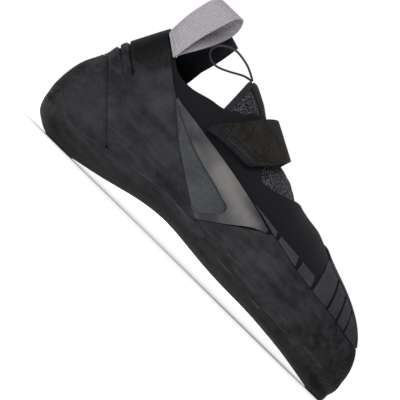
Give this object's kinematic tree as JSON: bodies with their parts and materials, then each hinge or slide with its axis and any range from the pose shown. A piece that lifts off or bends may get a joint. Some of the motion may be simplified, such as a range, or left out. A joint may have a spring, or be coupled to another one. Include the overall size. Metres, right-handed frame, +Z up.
{
  "type": "climbing shoe",
  "caption": "Right climbing shoe with a stretch upper, rubber rand and toe pads, a strap over the instep, a knitted tongue with a cord loop, and webbing pull loops.",
  "frame": {"origin": "centre of the flat spot under the heel that the shoe rests on, at floor height", "axes": "+X from the heel to the toe, +Y towards the inner side of the foot, +Z up from the floor"},
  "size_m": [0.2522, 0.0954, 0.1334],
  "materials": {
    "front_rand": "matt rubber with faint scuff lines",
    "heel_ball": "matt rubber with a cloudy bloom",
    "heel_rand": "matt rubber with a cloudy bloom",
    "heel_sole": "matt rubber with a cloudy bloom",
    "insole": "matt fabric-covered board",
    "outsole": "matt rubber, brownish at the edge",
    "pull_loop_inner": "ribbed webbing",
    "pull_loop_outer": "ribbed webbing",
    "side_panel_inner": "rubber with a fine crossed texture",
    "side_panel_outer": "rubber with a fine crossed texture",
    "side_rand_inner": "smooth rubber with a soft shine",
    "side_rand_outer": "smooth rubber with a soft shine",
    "strap": "brushed suede-like face with a smooth tab",
    "toe_pad_1": "satin rubber",
    "toe_pad_2": "satin rubber",
    "toe_pad_3": "satin rubber",
    "toe_pad_4": "satin rubber",
    "toe_pad_5": "satin rubber",
    "toe_pad_6": "satin rubber",
    "toe_pad_7": "satin rubber",
    "toe_patch": "smooth satin rubber",
    "tongue": "thick knitted fabric with pale flecks",
    "tongue_band": "flat woven binding",
    "tongue_cord": "thin round cord",
    "upper": "matt stretch fabric with a fine woven grain"
  },
  "bodies": {
    "root": {"front_rand": "front_rand", "heel_ball": "heel_ball", "heel_rand": "heel_rand", "heel_sole": "heel_sole", "insole": "insole", "outsole": "outsole", "pull_loop_inner": "pull_loop_inner", "pull_loop_outer": "pull_loop_outer", "side_panel_inner": "side_panel_inner", "side_panel_outer": "side_panel_outer", "side_rand_inner": "side_rand_inner", "side_rand_outer": "side_rand_outer", "strap": "strap", "toe_pad_1": "toe_pad_1", "toe_pad_2": "toe_pad_2", "toe_pad_3": "toe_pad_3", "toe_pad_4": "toe_pad_4", "toe_pad_5": "toe_pad_5", "toe_pad_6": "toe_pad_6", "toe_pad_7": "toe_pad_7", "toe_patch": "toe_patch", "tongue": "tongue", "tongue_band": "tongue_band", "tongue_cord": "tongue_cord", "upper": "upper"}
  },
  "joints": []
}
